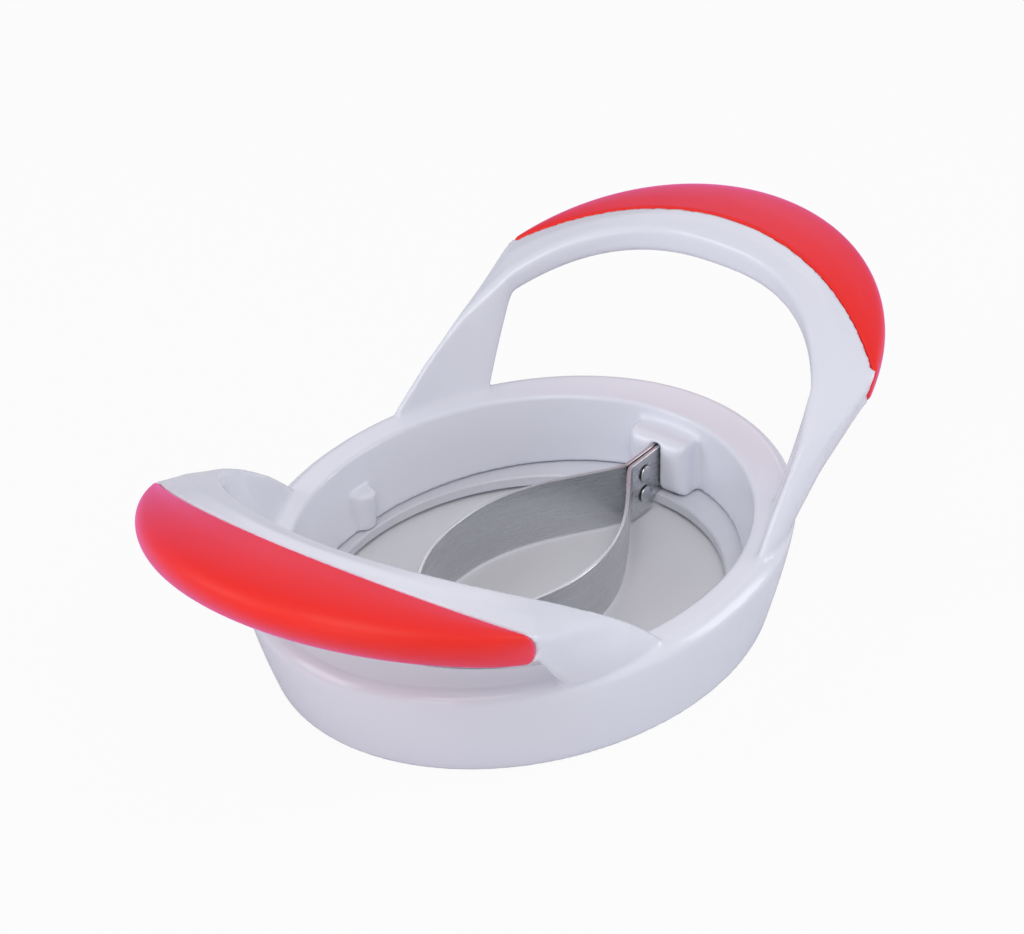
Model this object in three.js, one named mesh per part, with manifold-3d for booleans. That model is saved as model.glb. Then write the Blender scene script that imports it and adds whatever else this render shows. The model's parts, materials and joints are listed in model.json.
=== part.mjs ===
import * as THREE from 'three';
import { mergeVertices } from 'three/addons/utils/BufferGeometryUtils.js';
import Module from 'manifold-3d';

// A fruit pitter: an oval cutting ring with two raised loop handles, a pit blade made of two bowed
// steel strips, a clamp ring that traps the blade from below, and a base plate that lifts off.
// Lengths are in millimetres. X runs from handle to handle and Z is up.
// The origin is on the worktop under the middle of the ring.

const wasm = await Module();
wasm.setup();

// Ring
const ringHalfLength = 68.5;
const ringHalfWidth = 54.4;
const ringHeight = 23.8;
const rimBevel = 2.4;
const rimBandLong = 12;
const rimBandWide = 7.6;
const mouthDrop = 0.4;
const skirtFlareLong = 7.2;
const skirtFlareWide = 4.4;
const skirtPower = 1.25;
const skirtWall = 2;
const skirtLift = 0.4;
const throatInsetLong = 12.4;
const throatInsetWide = 11.3;
const ringSides = 84;
const skirtSteps = 5;

// Loop handles
const loopReach = 4.4;
const loopHalfWidth = 51.5;
const loopPower = 2.3;
const topWidth = 7.6;
const handleTopHeight = 60;
const tipCrown = 1.9;
const gripLineRadius = 74;
const gripLineSlope = 0.71;
const dropPower = 1.19;
const lobeTipShare = 0.131;
const strapDepth = 6;
const gripEndAngle = 38.6;
const limbLandingAngle = 46;
const edgeLandingAngle = 68;
const edgeLandingIn = 4.5;
const edgeLandingRise = 4.2;
const handleEndAngle = 74;
const handleAngleStep = 2.6;
const rootDepth = 6;
const limbWallIn = 7.2;
const lobeWallIn = 4.6;
const limbBulge = 2.4;
const limbRootIn = 2.9;
const lobeRootIn = 2.6;
const lobeNoseStartAngle = 44;
const lobeNoseEndAngle = 70.5;
const lobeNoseSink = 1.2;
const lobeDrawIn = 2;
const lobeDrawStartAngle = 48;
const lobeDrawEndAngle = 62;
const lobeRidge = 1.6;
const lobeRidgeDrop = 1.3;
const lobeRidgeAngle = 54;

// Soft grips
const gripBulge = 17.6;
const gripEndBulge = 0.6;
const bulgePower = 0.85;
const gripDepth = 12.4;
const gripEndDepth = 7;
const depthPower = 0.55;
const gripKeel = 8.6;
const gripEndKeel = -1.6;
const gripSkin = 2.8;
const gripEndRound = 4.5;
const endRoundShare = 0.4;
const endTurnShares = [0, 0.35, 0.65, 0.87, 1];
const shutOff = 0.2;
const tongueEndShare = 0.85;
const tongueShare = 0.75;
const tongueNoseShare = 0.45;
// Places round the bulge, as shares of how far it stands out and of the grip's depth
const bulgeShares = [[0.4, -0.03], [0.76, 0.03], [0.95, 0.17], [1, 0.4], [0.93, 0.68], [0.76, 0.9]];

// Blade
const bladeThickness = 0.9;
const bladeHeight = 15;
const bladeEdgeHeight = 3;
const bladeSeam = 0.4;
const pitHalfWidth = 17;
const tailFree = 9.6;
const pitRoundPower = 2.2;
const pitTipPower = 1.3;
const notchRun = 1.2;
const bladeSteps = 44;

// Blade anchors and clamp ring
const anchorReach = 7;
const anchorHalfWidth = 7.6;
const anchorRound = 3;
const anchorRoundSteps = 4;
const anchorRoof = 1.4;
const clampThickness = 3;
const clampLip = 1.6;
const lugRadius = 3;
const lugHeight = 9;

// Base plate and feet
const plateFloor = 1.6;
const plateRim = 2.4;
const plateRimRise = 0.6;
const plateLift = 0.5;
const footRadius = 4.5;
const footHeight = 1.1;
const footReachShare = 0.57;

// Fasteners
const screwRadius = 1.1;
const screwLength = 8;
const screwHeadRadius = 1.9;
const screwHeadHeight = 1.2;
const screwSlotWidth = 0.6;
const screwSlotDepth = 0.6;
const rivetRadius = 1.1;
const rivetHeadRadius = 2;
const rivetHeadHeight = 0.7;
const rivetLowShare = 0.36;
const rivetHighShare = 0.72;
const roundSides = 16;
const headCrownShare = 0.7;
const screwTipShare = 0.35;
const crossArmShare = 0.65;

// Clearances
const seatGap = 0.3;
const plateGap = 0.6;
const edgeGap = 0.6;
const overrun = 1;
const shortEdge = 0.05;
const needleHeight = 0.012;
const cleanRounds = 12;
const exactMerge = 0.0001;

// Heights that stack up from the worktop
const plateUnder = footHeight + seatGap;
const floorTop = plateUnder + plateFloor;
const edgeBottom = floorTop + edgeGap;
const bladeTop = edgeBottom + bladeHeight;
const clampBottom = floorTop + plateRimRise + seatGap;
const shelfHeight = clampBottom + clampThickness;
const bevelStart = ringHeight - rimBevel;

// Plan sizes that the pieces share
const mouthHalfLength = ringHalfLength - rimBandLong;
const mouthHalfWidth = ringHalfWidth - rimBandWide;
const throatHalfLength = ringHalfLength - throatInsetLong;
const throatHalfWidth = ringHalfWidth - throatInsetWide;
const anchorInner = throatHalfLength - anchorReach;
const pitHalfLength = anchorInner - tailFree;
const loopHalfLength = ringHalfLength + loopReach;
const gripLineTip = loopHalfLength + topWidth;
const gripLineCentre = gripLineTip - gripLineRadius;
const lobeTipX = loopHalfLength * lobeTipShare;

const rad = THREE.MathUtils.degToRad;

// Solid from a closed three.js geometry, with its shared vertices merged
function solid(geometry) {
  const bare = geometry.index ? geometry.toNonIndexed() : geometry.clone();
  bare.deleteAttribute('normal');
  bare.deleteAttribute('uv');
  const merged = mergeVertices(bare);
  const made = new wasm.Manifold(new wasm.Mesh({
    numProp: 3,
    vertProperties: new Float32Array(merged.attributes.position.array),
    triVerts: new Uint32Array(merged.index.array),
  }));
  return made;
}

// Geometry of a solid, without the short edges and needle faces that joins and cuts leave behind
function geometryOf(manifold) {
  const mesh = manifold.getMesh();
  const geometry = new THREE.BufferGeometry();
  geometry.setAttribute('position', new THREE.BufferAttribute(new Float32Array(mesh.vertProperties), 3));
  const points = Array.from({ length: geometry.attributes.position.count }, (unused, i) => (
    new THREE.Vector3().fromBufferAttribute(geometry.attributes.position, i)
  ));
  let faces = Array.from({ length: mesh.triVerts.length / 3 }, (unused, i) => (
    Array.from(mesh.triVerts.subarray(3 * i, 3 * i + 3))
  ));
  for (let round = 0; round < cleanRounds; round += 1) {
    const before = faces.length;
    faces = withoutShortEdges(faces, points);
    const turned = turnNeedles(faces, points);
    if (faces.length === before && turned === 0) break;
  }
  geometry.setIndex(faces.flat());
  return mergeVertices(geometry, exactMerge);
}

// Draws the two ends of each short edge together, where that leaves the surface closed
function withoutShortEdges(faces, points) {
  const near = points.map(() => new Set());
  for (const face of faces) {
    for (const corner of face) face.forEach((other) => near[corner].add(other));
  }
  const movedTo = new Map();
  const touched = new Set();
  for (const face of faces) {
    face.forEach((keep, j) => {
      const drop = face[(j + 1) % 3];
      if (touched.has(keep) || touched.has(drop)) return;
      if (points[keep].distanceTo(points[drop]) > shortEdge) return;
      const shared = [...near[keep]].filter((corner) => near[drop].has(corner));
      if (shared.length !== face.length + 1) return;
      for (const corner of [...near[keep], ...near[drop]]) touched.add(corner);
      movedTo.set(drop, keep);
    });
  }
  return faces
    .map((face) => face.map((corner) => movedTo.get(corner) ?? corner))
    .filter((face) => new Set(face).size === face.length);
}

// A needle has a corner that lies almost on its longest edge. Turning that edge removes it.
function turnNeedles(faces, points) {
  const owner = new Map();
  faces.forEach(([a, b, c], i) => {
    for (const [from, to] of [[a, b], [b, c], [c, a]]) owner.set(`${from} ${to}`, i);
  });
  const touched = new Set();
  let turned = 0;
  faces.forEach((face, i) => {
    const lengths = face.map((from, j) => points[from].distanceTo(points[face[(j + 1) % 3]]));
    const longest = lengths.indexOf(Math.max(...lengths));
    const [a, b, tip] = [0, 1, 2].map((j) => face[(longest + j) % 3]);
    const doubleArea = points[b].clone().sub(points[a]).cross(points[tip].clone().sub(points[a])).length();
    if (doubleArea / lengths[longest] > needleHeight) return;
    const across = owner.get(`${b} ${a}`);
    if (touched.has(i) || touched.has(across)) return;
    const far = faces[across].find((corner) => corner !== a && corner !== b);
    if (owner.has(`${tip} ${far}`) || owner.has(`${far} ${tip}`)) return;
    faces[i] = [tip, a, far];
    faces[across] = [tip, far, b];
    touched.add(i).add(across);
    turned += 1;
  });
  return turned;
}

// Closed solid through equal outlines: ring after ring of points, capped at both ends or joined up
function loft(outlines, closed = false) {
  const count = outlines[0].length;
  const positions = outlines.flat().flatMap((point) => [point.x, point.y, point.z]);
  const index = [];
  const spans = closed ? outlines.length : outlines.length - 1;
  for (let i = 0; i < spans; i += 1) {
    const next = (i + 1) % outlines.length;
    for (let j = 0; j < count; j += 1) {
      const k = (j + 1) % count;
      index.push(i * count + j, next * count + j, next * count + k);
      index.push(i * count + j, next * count + k, i * count + k);
    }
  }
  if (!closed) {
    for (const [outline, start, flip] of [
      [outlines[0], 0, false], [outlines.at(-1), (outlines.length - 1) * count, true],
    ]) {
      const middle = outline.reduce((sum, point) => sum.add(point), new THREE.Vector3());
      middle.divideScalar(count);
      const centre = positions.push(middle.x, middle.y, middle.z) / 3 - 1;
      for (let j = 0; j < count; j += 1) {
        const k = (j + 1) % count;
        index.push(centre, start + (flip ? k : j), start + (flip ? j : k));
      }
    }
  }
  const geometry = new THREE.BufferGeometry();
  geometry.setAttribute('position', new THREE.Float32BufferAttribute(positions, 3));
  geometry.setIndex(index);
  return volumeOf(geometry) < 0 ? turnedOut(geometry) : geometry;
}

function volumeOf(geometry) {
  const p = geometry.attributes.position;
  const [a, b, c] = [new THREE.Vector3(), new THREE.Vector3(), new THREE.Vector3()];
  let total = 0;
  for (let i = 0; i < geometry.index.count; i += 3) {
    a.fromBufferAttribute(p, geometry.index.getX(i));
    b.fromBufferAttribute(p, geometry.index.getX(i + 1));
    c.fromBufferAttribute(p, geometry.index.getX(i + 2));
    total += a.dot(b.cross(c));
  }
  return total;
}

function turnedOut(geometry) {
  const index = Array.from(geometry.index.array);
  for (let i = 0; i < index.length; i += 3) [index[i + 1], index[i + 2]] = [index[i + 2], index[i + 1]];
  geometry.setIndex(index);
  return geometry;
}

// Polar radius of an oval with the given half sizes and squareness
function ovalRadius(halfLength, halfWidth, angle, power = 2) {
  const along = Math.abs(Math.cos(angle) / halfLength) ** power;
  const across = Math.abs(Math.sin(angle) / halfWidth) ** power;
  return (along + across) ** (-1 / power);
}

// Oval band whose section is a list of [half length, half width, height]
function ovalBand(section) {
  const outlines = [];
  for (let i = 0; i < ringSides; i += 1) {
    const angle = (i / ringSides) * 2 * Math.PI;
    outlines.push(section.map(([halfLength, halfWidth, z]) => (
      new THREE.Vector3(halfLength * Math.cos(angle), halfWidth * Math.sin(angle), z)
    )));
  }
  return loft(outlines, true);
}

function ovalDisc(halfLength, halfWidth, bottom, top) {
  const outline = (z) => Array.from({ length: ringSides }, (unused, i) => {
    const angle = (i / ringSides) * 2 * Math.PI;
    return new THREE.Vector3(halfLength * Math.cos(angle), halfWidth * Math.sin(angle), z);
  });
  return loft([outline(bottom), outline(top)]);
}

// Upright round bar
function bar(radius, bottom, top, x = 0, y = 0) {
  const geometry = new THREE.CylinderGeometry(radius, radius, top - bottom, roundSides);
  geometry.rotateX(Math.PI / 2);
  geometry.translate(x, y, (top + bottom) / 2);
  return geometry;
}

// Box from its low and high corners
function block(low, high) {
  const size = high.map((value, i) => value - low[i]);
  const geometry = new THREE.BoxGeometry(...size);
  geometry.translate(...high.map((value, i) => (value + low[i]) / 2));
  return geometry;
}

// Ring: flaring skirt, bevelled rim and sloped mouth
// How far the skirt's outside stands in from the rim at a height, as a share of its flare
function flareShare(z) {
  return Math.max(0, 1 - (z - skirtLift) / (bevelStart - skirtLift)) ** skirtPower;
}

function skirtOutside(z, inset = 0) {
  return [
    ringHalfLength - skirtFlareLong * flareShare(z) - inset,
    ringHalfWidth - skirtFlareWide * flareShare(z) - inset,
    z,
  ];
}

function ringShell() {
  const section = [skirtOutside(skirtLift)];
  for (let i = 1; i <= skirtSteps; i += 1) {
    section.push(skirtOutside(skirtLift + ((bevelStart - skirtLift) * i) / skirtSteps));
  }
  const half = Math.SQRT1_2 * rimBevel;
  section.push(
    [ringHalfLength - rimBevel + half, ringHalfWidth - rimBevel + half, bevelStart + half],
    [ringHalfLength - rimBevel, ringHalfWidth - rimBevel, ringHeight],
    [mouthHalfLength, mouthHalfWidth, ringHeight - mouthDrop],
    [throatHalfLength, throatHalfWidth, shelfHeight],
    skirtOutside(shelfHeight, skirtWall),
    skirtOutside(skirtLift, skirtWall),
  );
  return solid(ovalBand(section));
}

// Handle lines, each a polar radius and a height at an angle from the X axis
function crestLine(angle) {
  const radius = ovalRadius(loopHalfLength, loopHalfWidth, angle, loopPower);
  const back = Math.max(0, 1 - (radius * Math.cos(angle)) / loopHalfLength);
  const fall = (handleTopHeight - ringHeight) / (1 - lobeTipX / loopHalfLength) ** dropPower;
  return [radius, handleTopHeight - fall * back ** dropPower];
}

function gripLine(angle) {
  const across = gripLineCentre * Math.sin(angle);
  const radius = gripLineCentre * Math.cos(angle) + Math.sqrt(gripLineRadius ** 2 - across ** 2);
  const back = gripLineTip - radius * Math.cos(angle);
  return [radius, handleTopHeight + tipCrown - gripLineSlope * back];
}

// Straight run in plan from one polar place to another, read at an angle between them
function runBetween(angle, [angleA, radiusA, zA], [angleB, radiusB, zB]) {
  const share = radiusA * Math.sin(angle - angleA)
    / (radiusA * Math.sin(angle - angleA) + radiusB * Math.sin(angleB - angle));
  const x = radiusA * Math.cos(angleA) * (1 - share) + radiusB * Math.cos(angleB) * share;
  const y = radiusA * Math.sin(angleA) * (1 - share) + radiusB * Math.sin(angleB) * share;
  return [Math.hypot(x, y), zA * (1 - share) + zB * share, share];
}

const rimRadius = (angle) => ovalRadius(ringHalfLength, ringHalfWidth, angle);
const gripEnd = rad(gripEndAngle);
const limbLanding = rad(limbLandingAngle);
const edgeLanding = rad(edgeLandingAngle);
const gripFade = (angle) => Math.cos((Math.PI / 2) * Math.min(1, angle / gripEnd));

// How far an angle is on its way between two others, from zero to one
function shareOf(angle, start, end) {
  return THREE.MathUtils.clamp((angle - start) / (end - start), 0, 1);
}

// Crest with the rounded nose by which the lobe runs out on the rim
function lobeCrest(angle) {
  const [radius, z] = crestLine(angle);
  const base = ringHeight - lobeNoseSink;
  const nose = shareOf(angle, rad(lobeNoseStartAngle), rad(lobeNoseEndAngle));
  const drawn = lobeDrawIn * shareOf(angle, rad(lobeDrawStartAngle), rad(lobeDrawEndAngle));
  return [radius - drawn, base + Math.max(0, z - base) * Math.sqrt(1 - nose * nose)];
}

// Bulge, depth and keel of the grip's section at an angle, and how far its outside leans
function gripSizes(angle) {
  const fade = Math.max(0, gripFade(angle));
  return {
    bulge: gripEndBulge + (gripBulge - gripEndBulge) * fade ** bulgePower,
    depth: gripEndDepth + (gripDepth - gripEndDepth) * fade ** depthPower,
    keel: gripEndKeel + (gripKeel - gripEndKeel) * fade,
    lean: gripEndKeel * (1 - fade),
  };
}

// Section of the whole handle at an angle, as [radius, height] points that go round it:
// inner foot, crest, top face, outer edge, bulge, keel and underside
function handleSection(signed) {
  const angle = Math.abs(signed);
  const [crestRadius, crestZ] = lobeCrest(angle);
  const sizes = gripSizes(angle);
  let edge = gripLine(angle);
  let keel = [edge[0] + sizes.keel, edge[1] - sizes.depth];
  let foot = [crestRadius, crestZ - strapDepth];
  let { bulge, lean } = sizes;
  let landed = 0;
  if (angle > gripEnd) {
    const flush = shareOf(angle, limbLanding, edgeLanding);
    const lobeShare = shareOf(angle, limbLanding, rad(handleEndAngle));
    const wallIn = rimRadius(angle) - THREE.MathUtils.lerp(limbWallIn, lobeWallIn, lobeShare);
    const wallOut = rimRadius(angle) - THREE.MathUtils.lerp(limbRootIn, lobeRootIn, flush);
    const endEdge = gripLine(gripEnd);
    const endSizes = gripSizes(gripEnd);
    const endKeel = [endEdge[0] + endSizes.keel, endEdge[1] - endSizes.depth];
    const edgeRoot = [rimRadius(edgeLanding) - edgeLandingIn, ringHeight + edgeLandingRise];
    const keelRoot = [rimRadius(limbLanding) - limbRootIn, bevelStart - lobeNoseSink];
    landed = shareOf(angle, gripEnd, limbLanding);
    const ridgeDrop = lobeRidgeDrop * shareOf(angle, gripEnd, rad(lobeRidgeAngle));
    const [runRadius, runZ] = angle < edgeLanding
      ? runBetween(angle, [gripEnd, ...endEdge], [edgeLanding, ...edgeRoot])
      : [0, crestZ];
    edge = [Math.max(runRadius, crestRadius + lobeRidge), Math.min(runZ, crestZ - ridgeDrop)];
    keel = angle < limbLanding
      ? runBetween(angle, [gripEnd, ...endKeel], [limbLanding, ...keelRoot])
      : [wallOut, keelRoot[1]];
    bulge = THREE.MathUtils.lerp(endSizes.bulge, limbBulge, landed) * (1 - flush * flush);
    lean = keel[0] - edge[0];
    const rootZ = ringHeight - rootDepth;
    const footZ = THREE.MathUtils.lerp(crestLine(gripEnd)[1] - strapDepth, rootZ, landed);
    foot = [THREE.MathUtils.lerp(crestRadius, wallIn, landed), Math.min(footZ, crestZ - seatGap)];
  }
  const [edgeRadius, edgeZ] = edge;
  const [keelRadius, keelZ] = keel;
  return [
    foot,
    [crestRadius, crestZ],
    [(crestRadius + edgeRadius) / 2, (crestZ + edgeZ) / 2],
    [edgeRadius, edgeZ],
    ...bulgeShares.map(([outShare, downShare], i) => {
      const evenShare = (i + 1) / (bulgeShares.length + 1);
      const down = THREE.MathUtils.lerp(downShare, evenShare, landed);
      const leaning = lean * Math.max(0, down);
      return [edgeRadius + bulge * outShare + leaning, THREE.MathUtils.lerp(edgeZ, keelZ, down)];
    }),
    [keelRadius, keelZ],
    [(keelRadius + foot[0]) / 2, (keelZ + foot[1]) / 2],
  ];
}

function place([radius, z], angle, side) {
  return new THREE.Vector3(side * radius * Math.cos(angle), radius * Math.sin(angle), z);
}

// Even steps each way from zero up to an end
function angleSteps(end, step) {
  const count = Math.ceil(end / step);
  return Array.from({ length: 2 * count + 1 }, (unused, i) => (end * (i - count)) / count);
}

const gripAngles = () => angleSteps(gripEnd, rad(handleAngleStep));

function handleAngles() {
  const steps = Math.ceil((rad(handleEndAngle) - gripEnd) / rad(handleAngleStep));
  const beyond = Array.from({ length: steps }, (unused, i) => (
    gripEnd + ((rad(handleEndAngle) - gripEnd) * (i + 1)) / steps
  ));
  return [...beyond.map((angle) => -angle).reverse(), ...gripAngles(), ...beyond];
}

// Both loop handles in full, before the grips are taken out of them
function handleForm(side) {
  return solid(loft(handleAngles().map((angle) => (
    handleSection(angle).map((point) => place(point, angle, side))
  ))));
}

// Space that a soft grip fills: outside the grip line, with rounded ends
function gripZone(side, gap) {
  const end = gripEnd - gap / gripLineRadius;
  const roundAngle = gripEndRound / gripLineRadius;
  const turn = endTurnShares.map((turnShare) => end - roundAngle * (1 - turnShare));
  const main = gripAngles().filter((angle) => Math.abs(angle) < end - roundAngle);
  const angles = [...turn.map((angle) => -angle).reverse(), ...main, ...turn];
  return solid(loft(angles.map((signed) => {
    const angle = Math.abs(signed);
    const [edgeRadius, edgeZ] = gripLine(angle);
    const { bulge, depth } = gripSizes(angle);
    const far = edgeRadius + bulge + overrun;
    const into = Math.max(0, angle - (end - roundAngle)) / roundAngle;
    const fall = (1 - Math.sqrt(Math.max(0, 1 - into * into))) * (overrun + gripEndDepth * endRoundShare);
    const top = edgeZ + overrun - fall;
    const bottom = edgeZ - depth - overrun + fall;
    const leanPerDepth = (wallLean(angle) - shutOff) / depth;
    const wallAt = (z) => edgeRadius + shutOff + gap + leanPerDepth * (edgeZ - z);
    const section = [[wallAt(top), top], [far, top], [far, bottom], [wallAt(bottom), bottom]];
    return section.map((point) => place(point, signed, side));
  })));
}

// How far the grip's inner wall leans in below the grip line, to keep its skin thick at the ends
const wallLean = (angle) => (gripEndKeel - gripSkin) * (1 - Math.max(0, gripFade(angle)));

// Hard tongue of the handle that the grip is moulded round, or with less skin the hollow for it
function gripTongue(side, skin, endGap) {
  const end = gripEnd * tongueEndShare + endGap / gripLineRadius;
  const inner = gripAngles().filter((angle) => Math.abs(angle) < end - endGap / gripLineRadius);
  return solid(loft([-end, ...inner, end].map((signed) => {
    const angle = Math.abs(signed);
    const [edgeRadius, edgeZ] = gripLine(angle);
    const { bulge, depth, keel } = gripSizes(angle);
    const root = edgeRadius + wallLean(angle) - overrun;
    const [crestRadius, crestZ] = crestLine(angle);
    const underShare = (root - crestRadius) / (edgeRadius + keel - crestRadius);
    const underZ = THREE.MathUtils.lerp(crestZ - strapDepth, edgeZ - depth, underShare);
    const section = [
      [root, edgeZ - skin],
      [edgeRadius + (bulge - skin) * tongueShare, edgeZ - skin],
      [edgeRadius + bulge - skin, edgeZ - depth * tongueNoseShare],
      [edgeRadius + Math.min(keel, bulge - skin) * tongueShare, edgeZ - depth + skin],
      [root, Math.min(underZ + skin, edgeZ - skin - seatGap)],
    ];
    return section.map((point) => place(point, signed, side));
  })));
}

// Blade anchors, screw lugs and their holes
const clampTop = shelfHeight - seatGap;
const slotHalfWidth = bladeSeam / 2 + bladeThickness + seatGap;
const anchorTop = bladeTop + seatGap + anchorRoof;
const anchorScrewX = anchorInner + anchorReach / 2;
const anchorScrewY = (anchorHalfWidth + slotHalfWidth) / 2;
const lugScrewY = throatHalfWidth + screwRadius;
const screwTip = clampBottom + screwHeadHeight + screwLength;
const screwPlaces = [
  { name: 'left_rear', x: -anchorScrewX, y: anchorScrewY },
  { name: 'left_front', x: -anchorScrewX, y: -anchorScrewY },
  { name: 'right_rear', x: anchorScrewX, y: anchorScrewY },
  { name: 'right_front', x: anchorScrewX, y: -anchorScrewY },
  { name: 'middle_rear', x: 0, y: lugScrewY },
  { name: 'middle_front', x: 0, y: -lugScrewY },
];

function anchorForm(side) {
  const shape = new THREE.Shape();
  const outer = throatHalfLength + overrun;
  shape.moveTo(outer, -anchorHalfWidth);
  shape.lineTo(outer, anchorHalfWidth);
  shape.lineTo(anchorInner + anchorRound, anchorHalfWidth);
  shape.quadraticCurveTo(anchorInner, anchorHalfWidth, anchorInner, anchorHalfWidth - anchorRound);
  shape.lineTo(anchorInner, anchorRound - anchorHalfWidth);
  shape.quadraticCurveTo(anchorInner, -anchorHalfWidth, anchorInner + anchorRound, -anchorHalfWidth);
  const geometry = new THREE.ExtrudeGeometry(shape, {
    depth: anchorTop - shelfHeight, bevelEnabled: false, curveSegments: anchorRoundSteps,
  });
  geometry.translate(0, 0, shelfHeight);
  if (side < 0) geometry.rotateZ(Math.PI);
  return solid(geometry);
}

function tailSlot(side) {
  const near = anchorInner - overrun;
  const far = throatHalfLength + seatGap;
  const [low, high] = side > 0 ? [near, far] : [-far, -near];
  return solid(block(
    [low, -slotHalfWidth, shelfHeight - overrun],
    [high, slotHalfWidth, bladeTop + seatGap],
  ));
}

function frameForm() {
  let frame = ringShell();
  for (const side of [-1, 1]) {
    const white = handleForm(side).subtract(gripZone(side, 0));
    frame = frame.add(white).add(gripTongue(side, gripSkin, 0));
    frame = frame.add(anchorForm(side));
    frame = frame.add(solid(bar(lugRadius, shelfHeight, shelfHeight + lugHeight, 0, side * lugScrewY)));
  }
  for (const side of [-1, 1]) frame = frame.subtract(tailSlot(side));
  for (const { x, y } of screwPlaces) {
    const hole = bar(screwRadius + seatGap, shelfHeight - overrun, screwTip + seatGap, x, y);
    frame = frame.subtract(solid(hole));
  }
  return frame;
}

function gripForm(side) {
  const skin = handleForm(side).intersect(gripZone(side, seatGap));
  return skin.subtract(gripTongue(side, gripSkin - seatGap, seatGap));
}

// Pit blade: two bowed strips whose tails lie side by side in the anchors
const tailY = (bladeSeam + bladeThickness) / 2;
const tailEnd = throatHalfLength;
const notchEnd = anchorInner - edgeGap;
const notchStart = notchEnd - notchRun;

function bowAt(x) {
  const along = Math.min(1, Math.abs(x) / pitHalfLength);
  const bow = (1 - along ** pitRoundPower) ** pitTipPower;
  return tailY + (pitHalfWidth - tailY) * bow;
}

function bladeStations() {
  const half = [];
  for (let i = 0; i <= bladeSteps / 2; i += 1) {
    half.push(pitHalfLength * Math.sin((Math.PI / 2) * (i / (bladeSteps / 2))));
  }
  half.push(notchStart, notchEnd, tailEnd);
  return [...half.slice(1).map((x) => -x).reverse(), ...half];
}

function bladeStrip(side) {
  const delta = pitHalfLength / bladeSteps / bladeSteps;
  return solid(loft(bladeStations().map((x) => {
    const slope = (bowAt(x + delta) - bowAt(x - delta)) / (2 * delta);
    const normal = new THREE.Vector2(-slope, 1).normalize();
    const far = Math.abs(x);
    const notched = THREE.MathUtils.clamp((far - notchStart) / notchRun, 0, 1);
    const bottom = THREE.MathUtils.lerp(edgeBottom, shelfHeight, notched);
    const bevel = bladeEdgeHeight * (1 - notched);
    const at = (offset, z) => new THREE.Vector3(
      x + normal.x * offset,
      side * (bowAt(x) + normal.y * offset),
      z,
    );
    const half = bladeThickness / 2;
    return [
      at(half, bladeTop), at(-half, bladeTop),
      at(-half, bottom + bevel), at(0, bottom), at(half, bottom + bevel),
    ];
  })));
}

const rivetX = pitHalfLength + tailFree / 2;
const rivetPlaces = [['left', -1], ['right', 1]].flatMap(([end, side]) => (
  [['low', rivetLowShare], ['high', rivetHighShare]].map(([level, heightShare]) => (
    { name: `${end}_${level}`, x: side * rivetX, z: edgeBottom + bladeHeight * heightShare }
  ))
));

function bladeForm(side) {
  let strip = bladeStrip(side);
  for (const { x, z } of rivetPlaces) {
    const hole = new THREE.CylinderGeometry(
      rivetRadius + seatGap, rivetRadius + seatGap, 2 * (slotHalfWidth + overrun), roundSides,
    );
    hole.translate(x, 0, z);
    strip = strip.subtract(solid(hole));
  }
  return strip;
}

function rivetGeometry() {
  const seat = slotHalfWidth;
  const end = seat + rivetHeadHeight;
  const outline = [
    [0, -end], [rivetHeadRadius * headCrownShare, -end], [rivetHeadRadius, -seat], [rivetRadius, -seat],
    [rivetRadius, seat], [rivetHeadRadius, seat], [rivetHeadRadius * headCrownShare, end], [0, end],
  ];
  return new THREE.LatheGeometry(outline.map(([r, y]) => new THREE.Vector2(r, y)), roundSides);
}

// Clamp ring with a counterbored hole for each screw
const clampOutside = skirtOutside(clampBottom, skirtWall + seatGap);
const clampInnerHalfWidth = throatHalfWidth - clampLip;

function clampForm() {
  const [outLong, outWide] = clampOutside;
  let ring = solid(ovalBand([
    [outLong, outWide, clampBottom],
    [outLong, outWide, clampTop],
    [anchorInner, clampInnerHalfWidth, clampTop],
    [anchorInner, clampInnerHalfWidth, clampBottom],
  ]));
  for (const { x, y } of screwPlaces) {
    const recessTop = clampBottom + screwHeadHeight + seatGap;
    ring = ring.subtract(solid(bar(screwHeadRadius + seatGap, clampBottom - overrun, recessTop, x, y)));
    ring = ring.subtract(solid(bar(screwRadius + seatGap, clampBottom, clampTop + overrun, x, y)));
  }
  return ring;
}

function screwForm() {
  const headTop = clampBottom + screwHeadHeight;
  const tipStart = screwTip - screwRadius;
  const outline = [
    [0, clampBottom], [screwHeadRadius, clampBottom], [screwHeadRadius, headTop],
    [screwRadius, headTop], [screwRadius, tipStart], [screwRadius * screwTipShare, screwTip], [0, screwTip],
  ];
  const geometry = new THREE.LatheGeometry(outline.map(([r, z]) => new THREE.Vector2(r, z)), roundSides);
  geometry.rotateX(Math.PI / 2);
  let screw = solid(geometry);
  const arm = screwHeadRadius * crossArmShare;
  const half = screwSlotWidth / 2;
  const low = clampBottom - overrun;
  const high = clampBottom + screwSlotDepth;
  screw = screw.subtract(solid(block([-arm, -half, low], [arm, half, high])));
  screw = screw.subtract(solid(block([-half, -arm, low], [half, arm, high])));
  return screw;
}

// Base plate: the floor under the blade, held just inside the skirt
const [plateHalfLength, plateHalfWidth] = skirtOutside(skirtLift, skirtWall + plateGap);
const footX = plateHalfLength * footReachShare;
const footY = plateHalfWidth * footReachShare;

function plateForm() {
  const floor = solid(ovalDisc(plateHalfLength, plateHalfWidth, plateUnder, floorTop));
  const inLong = plateHalfLength - plateRim;
  const inWide = plateHalfWidth - plateRim;
  const rimTop = floorTop + plateRimRise;
  const rim = solid(ovalBand([
    [plateHalfLength, plateHalfWidth, plateLift],
    [plateHalfLength, plateHalfWidth, rimTop],
    [inLong, inWide, rimTop],
    [inLong, inWide, plateLift],
  ]));
  return floor.add(rim);
}

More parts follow.
